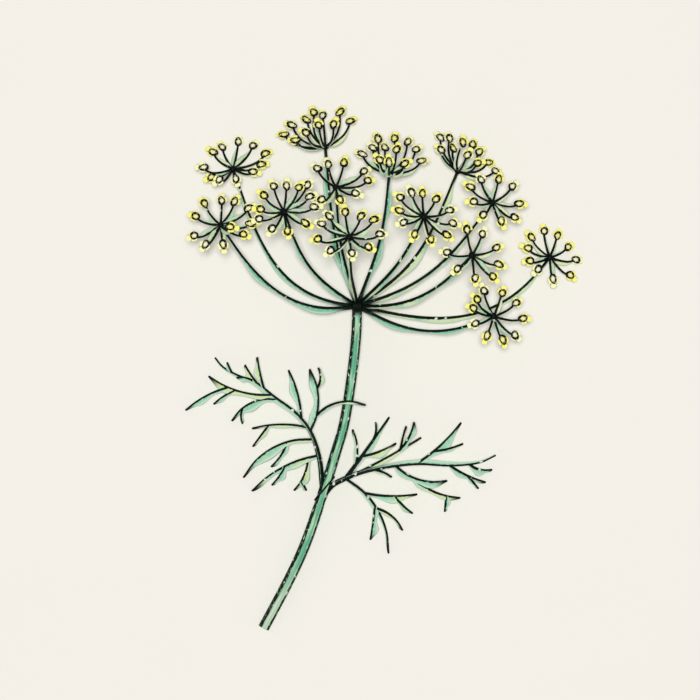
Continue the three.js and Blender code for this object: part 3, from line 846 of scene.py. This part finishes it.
def rayRoute(umbellet):
    sizes = raySizes
    facing = Vector(umbellet["faces"]).normalized()
    top = hubOf(umbellet)
    span = (top - umbelHub).length
    startClimb = math.asin((top.z - umbelHub.z) / span) * sizes["startClimb"]
    endClimb = math.asin(facing.z) * sizes["endClimb"] * min(1.0, top.z / sizes["fullClimbFrom"])
    start = direction(math.radians(umbellet["ray"][0]), startClimb)
    end = direction(math.radians(umbellet["ray"][1]), endClimb)
    tip = top - end * (sprigSizes["hubRadius"] + sizes["gap"])
    leaving = umbelHub + start * span * sizes["startHandle"]
    fine = bezier(umbelHub, leaving, tip - end * span * sizes["endHandle"], tip, 2 * sizes["steps"])
    return evenly(fine + [top - end * sprigSizes["hubRadius"] * sizes["sunk"]], sizes["steps"])


def rayWash(along, peak):
    near = math.exp(-(((along - peak) / raySizes["nearWidth"]) ** 2))
    far = math.exp(-(((along - peak - raySizes["farOffset"]) / raySizes["farWidth"]) ** 2))
    ends = eased(along, 0.06, 0.16) * eased(along, 0.95, 0.85)
    return (near + raySizes["farWash"] * far) * ends


def makeRays():
    strands = Strands(raySizes["lineShare"])
    chance = seeded(40)
    for umbellet in umbellets:
        side = 1.0 if hubOf(umbellet).x > umbelHub.x else -1.0
        blade = side * raySizes["bladeWidth"] * lerp(*raySizes["bladeShare"], next(chance))
        peak = lerp(*raySizes["nearWash"], next(chance))
        strands.add(rayRoute(umbellet),
                    lambda along: lerp(raySizes["rootRadius"], raySizes["tipRadius"], along),
                    bladeAt=lambda along: blade * rayWash(along, peak),
                    inkAt=lambda along: eased(along, 0.16, 0.06) + eased(along, 0.9, 0.98),
                    wash=side, tint=next(chance))
    tree = makeStrandTree("rayTree", rayGreen)
    growPiece("stem_rays", strands.guide("rayGuide"), tree, raySizes, "stem_green", "stem")
    print("rays made")


def coneRise(axis, opened, x, y):  # how far above its hub a floret at x, y stands on the cone
    share = math.cos(opened)
    level = x * axis.x + y * axis.y
    steep = axis.z ** 2 - share ** 2
    return (share * math.sqrt(level ** 2 + steep * (x * x + y * y)) - level * axis.z) / steep


def floretPlaces(umbellet):  # which way from the hub and how far, and which way each one looks
    axis = Vector(umbellet["faces"]).normalized()
    places = []
    for x, y, *above in umbellet["florets"]:
        rise = above[0] if above else coneRise(axis, math.radians(umbellet["open"]), x, y)
        offset = Vector((x, y, rise)) / 1000
        heading = offset.normalized()
        facing = heading.lerp(axis, sprigSizes["axisLean"])
        facing.z += sprigSizes["upwardLean"]
        facing.normalize()
        out = (heading - axis * heading.dot(axis)).normalized()
        away = Vector((x, y, 0))
        away = (away - facing * away.dot(facing)).normalized()
        place = {"heading": heading, "facing": facing, "out": out, "away": away, "reach": offset.length}
        places.append(place)
    return axis, places


def sprigRoute(hub, place):  # a bowed stalk, then the ovary, then the floret's middle
    sizes = sprigSizes
    facing = place["facing"]
    centre = hub + place["heading"] * place["reach"]
    petalReach = sizes["petalReach"] * sizes["outwardStretch"]
    reachDown = petalReach * math.hypot(facing.x, facing.y) + sizes["petalLift"] * max(0.0, -facing.z)
    centre.z = max(centre.z, reachDown)
    foot = centre - facing * sizes["ovaryDepth"]
    foot.z = max(foot.z, sizes["lowest"])
    bow = hub.lerp(foot, 0.5) + place["out"] * (place["reach"] * sizes["outwardBow"])
    bow.y -= place["reach"] * sizes["sag"]
    bow.z = max(bow.z, sizes["lowest"])
    pull = bow * 2 - (hub + foot) / 2
    route = []
    for i in range(sizes["stalkSteps"]):
        t = i / sizes["stalkSteps"]
        route.append(hub * (1 - t) ** 2 + pull * 2 * t * (1 - t) + foot * t ** 2)
    for i in range(sizes["flowerSteps"] + 1):
        route.append(foot.lerp(centre, i / sizes["flowerSteps"]))
    return route


def sprigRadius(along):  # over the whole line: stalk, ovary, rim
    sizes = sprigSizes
    if along < sizes["ovaryShare"]:
        return lerp(sizes["rootRadius"], sizes["stalkRadius"], min(1.0, along / sizes["rootShare"]))
    swell = (along - sizes["ovaryShare"]) / (1 - sizes["ovaryShare"])
    rimShare = sizes["rimShare"]
    if swell < rimShare:
        return lerp(sizes["stalkRadius"], sizes["ovaryRadius"], math.sin(swell / rimShare * math.pi / 2))
    return lerp(sizes["ovaryRadius"], sizes["rimRadius"], (swell - rimShare) / (1 - rimShare))


def sprigBlade(along):  # the green edge, from near the hub to the middle of the stalk
    return eased(along, 0.02, 0.15) * eased(along, 0.55, 0.25)


def unevenLoop(centre, across, over, stretch, turn):  # the near-black loop round a floret's cushion, painted as the shade of its crease
    oval, threeCornered = sprigSizes["ringUneven"]
    loop = []
    for angle in turns(sprigSizes["ringCorners"]):
        uneven = oval * math.cos(2 * angle + 6 * turn) + threeCornered * math.cos(3 * angle + 20 * turn)
        radius = sprigSizes["ringRadius"] * (1 + uneven)
        loop.append(centre + (across * (math.cos(angle) * stretch) + over * math.sin(angle)) * radius)
    return loop


def makeUmbellet(umbellet, number, greenTree, floretTree):
    name = f"umbellet_{number:02d}"
    sizes = sprigSizes
    hub = hubOf(umbellet)
    axis, places = floretPlaces(umbellet)
    chance = seeded(number + 60)
    strands = Strands(sizes["lineShare"])
    pole = math.radians(84)  # the hub's knob, from pole to pole
    steps = 12
    heights = [math.sin(lerp(-pole, pole, i / steps)) * sizes["hubHeight"] for i in range(steps + 1)]
    strands.add([hub + axis * height for height in heights],
                lambda along: sizes["hubRadius"] * math.cos(lerp(-pole, pole, along)), inkAt=always)
    centres = []
    vectors = {"facing": [], "outwards": []}
    numbers = {"stretch": [], "glow": []}
    for place in places:
        route = sprigRoute(hub, place)
        centre = route[-1]
        side = 1.0 if next(chance) > 0.5 else -1.0
        blade = side * sizes["bladeWidth"] * max(sizes["leastBlade"], 1.5 * next(chance) - 0.2)
        # near black at the rim as painted shade of the crease round the cushion, and dark at the stalk's root
        # by the hub
        strands.add(route, sprigRadius, bladeAt=lambda along: blade * sprigBlade(along),
                    inkAt=lambda along: eased(along, 0.93, 0.98) + eased(along, 0.08, 0.02),
                    wash=side, tint=next(chance))
        facing = place["facing"]
        across = place["away"]
        longest = next(chance) if centre.z > sizes["shortBelow"] else 0.0
        stretch = lerp(*sizes["ringStretch"], longest)
        ringStretch = stretch / max(sizes["ringLeast"], facing.z)  # a slanting loop is longer
        turn = next(chance)
        ring = unevenLoop(centre, across, facing.cross(across), ringStretch, turn)
        thickness = sizes["ringThickness"] * (0.85 + 0.3 * next(chance))
        # the loop is near black all round: painted shade of the crease
        strands.add(ring, lambda along: thickness * (1 + 0.3 * math.sin(2 * math.pi * (along + turn))),
                    inkAt=always, closed=True)
        centres.append(centre)
        vectors["facing"].append(facing)
        vectors["outwards"].append(across)
        numbers["stretch"].append(stretch)
        numbers["glow"].append(next(chance))
    growPiece(name + "_green", strands.guide(name + "Strands"), greenTree, sizes, "leaf_green", name)
    points = newMesh(name + "Points", centres, numbers, vectors)
    growPiece(name + "_yellow", points, floretTree, floretSizes, "floret_yellow", name)


def makeUmbel():
    makeRays()
    greenTree = makeStrandTree("sprigTree", sprigGreen)
    floretTree = makeFloretTree(floretYellow)
    for i, umbellet in enumerate(umbellets):
        makeUmbellet(umbellet, i + 1, greenTree, floretTree)
    print("umbellets made")


# The two leaves

leafSizes = {
    "ribRoot": 0.0010,
    "ribTip": 0.0004,
    "threadRoot": 0.00058,
    "threadTip": 0.00038,
    "lineShare": 0.68,
    "bladeWidth": 0.0026,  # how far a thread's thin blade stands out on its low side
    "bladeShare": (0.3, 1.2),  # least and most of that width
    "ribBlade": 0.45,  # share of it along the rib
    "fullBladeFrom": 0.012,  # length of a thread
    "arch": 0.0008,  # how far a thread arches above a straight line to its tip
    "arcCorners": 4,
    "ribSteps": 90,
    "step": 0.0009,
    "lowest": 0.0005,
    "Ribs": 3,
    "Rib Height": 0.06,
    "Flatness": 0.8,
}

# Each thread: its name, if another grows from it, what it grows from and how far along, the turn from that
# one's heading in degrees (left is positive), its length, its bend over that length and its tip's height.
# A few also give how high they arch and their root's radius, where these are not the common ones.
threadFields = ("name", "from", "at", "turn", "long", "bend", "tip", "arch", "root")
leftRib = [
    (-0.023, -0.046, 0.0056), (-0.024, -0.034, 0.0095), (-0.0275, -0.0235, 0.0115), (-0.033, -0.0165, 0.011),
    (-0.041, -0.0105, 0.009), (-0.049, -0.0045, 0.0065), (-0.055, -0.0023, 0.0046), (-0.061, 0.001, 0.003),
    (-0.064, 0.0045, 0.0022),
]
leftThreads = [
    ("up", "rib", 0.34, -59, 0.0244, 60, 0.009), ("", "up", 0.67, -45, 0.0084, 62, 0.012),
    ("", "up", 0.25, -27, 0.0204, -72, 0.015, 0.0015), ("", "rib", 0.42, -39, 0.019, 24, 0.005),
    ("", "rib", 0.68, -35, 0.012, -10, 0.008), ("", "rib", 0.73, -20, 0.008, -10, 0.004),
    ("", "rib", 0.88, -40, 0.004, 0, 0.0045), ("", "rib", 0.75, -5, 0.0065, 40, 0.008),
    ("fan", "rib", 0.62, 42, 0.0258, -40, 0.0025), ("", "fan", 0.66, 38, 0.0186, 26, 0.001),
    ("", "fan", 0.54, 40, 0.010, 20, 0.0015), ("hook", "rib", 0.58, 25, 0.0208, 70, 0.002),
    ("", "hook", 0.68, 30, 0.006, 40, 0.001), ("side", "rib", 0.36, 44, 0.0215, 28, 0.007),
    ("", "side", 0.69, 46, 0.0102, 0, 0.003), ("sweep", "rib", 0.29, 64, 0.0325, 66, 0.001),
    ("", "sweep", 0.31, 55, 0.0115, -30, 0.0025), ("low", "rib", 0.2, 86, 0.0296, 38, 0.001),
    ("", "low", 0.45, 38, 0.009, -20, 0.002), ("drop", "low", 0.14, 74, 0.014, -42, 0.0015),
    ("", "drop", 0.66, 60, 0.004, 0, 0.001),
]
rightRib = [
    (-0.022, -0.047, 0.0056), (-0.019, -0.0437, 0.0075), (-0.015, -0.0416, 0.0092),
    (-0.0105, -0.0396, 0.0106), (-0.005, -0.038, 0.0112), (0.005, -0.0362, 0.0106), (0.014, -0.0356, 0.0094),
    (0.0235, -0.0362, 0.0076), (0.031, -0.036, 0.0058), (0.037, -0.035, 0.0042), (0.0425, -0.0325, 0.003),
]
rightThreads = [
    ("tall", "rib", 0.15, 28, 0.0285, 2, 0.005, 0.0008, 0.00095),
    ("", "tall", 0.21, 20, 0.014, 40, 0.006), ("", "tall", 0.62, 5, 0.007, 45, 0.003),
    ("", "tall", 0.36, -44, 0.014, 22, 0.009), ("long", "rib", 0.15, 0, 0.0325, 6, 0.008),
    ("", "long", 0.72, 51, 0.0093, -8, 0.012), ("", "long", 0.7, 15, 0.0125, 36, 0.014),
    ("rise", "rib", 0.55, 31, 0.023, 20, 0.003), ("", "rise", 0.34, -35, 0.0115, 20, 0.005),
    ("", "rib", 0.84, -45, 0.0095, 50, 0.001), ("end", "rib", 0.73, -35, 0.0155, 20, 0.001),
    ("", "end", 0.5, -24, 0.0065, 0, 0.0015), ("fall", "rib", 0.43, -52, 0.0215, 56, 0.006),
    ("stray", "fall", 0.36, -20, 0.0205, 40, 0.001), ("", "stray", 0.73, -82, 0.006, 0, 0.001),
    ("", "rib", 0.31, -20, 0.0076, -30, 0.008), ("down", "rib", 0.15, -55, 0.0345, -62, 0.001),
    ("cross", "down", 0.26, 34, 0.020, 20, 0.002), ("", "cross", 0.56, -54, 0.0096, 20, 0.001),
    ("", "down", 0.47, 43, 0.0135, -50, 0.001), ("", "down", 0.44, -38, 0.013, -6, 0.002),
]


def threadRoute(thread, parent):  # a level arc that sinks or rises to its tip's height
    start = pointAt(parent, thread["at"])
    heading = headingAt(parent, thread["at"]) + math.radians(thread["turn"])
    bend = math.radians(thread["bend"])
    corners = [start]
    for i in range(leafSizes["arcCorners"]):
        share = (i + 1) / leafSizes["arcCorners"]
        half = bend * share / 2
        chord = thread["long"] * share * (math.sin(half) / half if half else 1.0)
        arch = thread.get("arch", leafSizes["arch"]) * math.sin(math.pi * share)
        height = lerp(start.z, thread["tip"], share) + arch
        x = start.x + chord * math.cos(heading + half)
        y = start.y + chord * math.sin(heading + half)
        corners.append(Vector((x, y, max(height, leafSizes["lowest"]))))
    return smoothRoute(corners, max(8, round(thread["long"] / leafSizes["step"])))


def bladeShape(along, beat):  # nothing at a thread's root and tip, uneven in between
    return abs(math.sin(math.pi * along)) ** 0.8 * (0.65 + 0.35 * math.sin(9 * along + 6.3 * beat))


def makeLeaf(name, rib, threads, seed):
    sizes = leafSizes
    chance = seeded(seed)
    ribRoute = smoothRoute(rib, sizes["ribSteps"])
    routes = {"rib": ribRoute}
    strands = Strands(sizes["lineShare"])
    ribBlade = -sizes["ribBlade"] * sizes["bladeWidth"]
    strands.add(ribRoute, lambda along: lerp(sizes["ribRoot"], sizes["ribTip"], math.sqrt(along)),
                bladeAt=lambda along: ribBlade * bladeShape(along, 0.3), wash=-1.0, tint=0.3,
                hemAt=lambda along: eased(along, 0.5, 0.2))
    for row in threads:
        thread = dict(zip(threadFields, row))
        route = threadRoute(thread, routes[thread["from"]])
        routes[thread["name"]] = route
        side = 1.0 if route[-1].x > route[0].x else -1.0  # the low side, as the leaf lies in front of us
        shorter = min(1.0, thread["long"] / sizes["fullBladeFrom"])
        blade = side * sizes["bladeWidth"] * lerp(*sizes["bladeShare"], next(chance)) * shorter
        beat = next(chance)
        root = thread.get("root", sizes["threadRoot"])
        strands.add(route, lambda along: lerp(root, sizes["threadTip"], along),
                    bladeAt=lambda along: blade * bladeShape(along, beat),
                    inkAt=lambda along: eased(along, 0.75, 0.95), wash=side, tint=next(chance))
    tree = makeStrandTree(name + "Tree", leafGreen)
    growPiece(name, strands.guide(name + "Guide"), tree, sizes, "leaf_green", name)
    print(name, "made")


# Floor, light and camera

studio = {
    "paper": paint(246, 242, 234),
    "floorSize": 3.0,
    "mottle": 0.15,  # how much of its slightly darker patches shows
    "mottleScale": 30.0,
    "worldColour": (1.0, 0.995, 0.985, 1.0),
    "worldLight": 0.3,
    "lampPower": 46.5,
    "lampPlace": (-0.03, 0.04, 2.6),
    "lampSize": 0.3,
}


def makeStudio():
    half = studio["floorSize"] / 2
    mesh = bpy.data.meshes.new("floor")
    corners = [(-half, -half, 0), (half, -half, 0), (half, half, 0), (-half, half, 0)]
    mesh.from_pydata(corners, [], [(0, 1, 2, 3)])
    floor = newObject("floor", mesh)
    net = Surface("paleFloor", 0.9)
    shade = net.noise(net.objectPlace(), studio["mottleScale"]) * studio["mottle"]
    red, green, blue = studio["paper"][:3]
    darker = (red * 0.94, green * 0.94, blue * 0.93, 1)
    mesh.materials.append(net.finish({"Base Color": net.blend(shade, studio["paper"], darker)}))

    world = bpy.data.worlds.new("softLight")
    world.use_nodes = True
    background = world.node_tree.nodes["Background"]
    background.inputs["Color"].default_value = studio["worldColour"]
    background.inputs["Strength"].default_value = studio["worldLight"]
    scene.world = world

    lamp = bpy.data.lights.new("softLamp", "AREA")
    lamp.energy = studio["lampPower"]
    lamp.size = studio["lampSize"]
    holder = newObject("softLamp", lamp)
    holder.location = studio["lampPlace"]
    holder.rotation_euler = (-Vector(studio["lampPlace"])).to_track_quat("-Z", "Y").to_euler()
    scene.view_settings.view_transform = "Standard"


cameraSizes = {"place": (-0.01300, 0.00711, 1.478), "lens": 200.0, "sensor": 36.0}


def makeCamera():  # straight down on the lying plant, +Y up in the picture
    data = bpy.data.cameras.new("camera")
    data.lens = cameraSizes["lens"]
    data.sensor_width = cameraSizes["sensor"]
    camera = newObject("camera", data)
    camera.location = cameraSizes["place"]
    scene.camera = camera


makeStem()
makeUmbel()
makeLeaf("leaf_left", leftRib, leftThreads, 11)
makeLeaf("leaf_right", rightRib, rightThreads, 12)
makeStudio()
makeCamera()
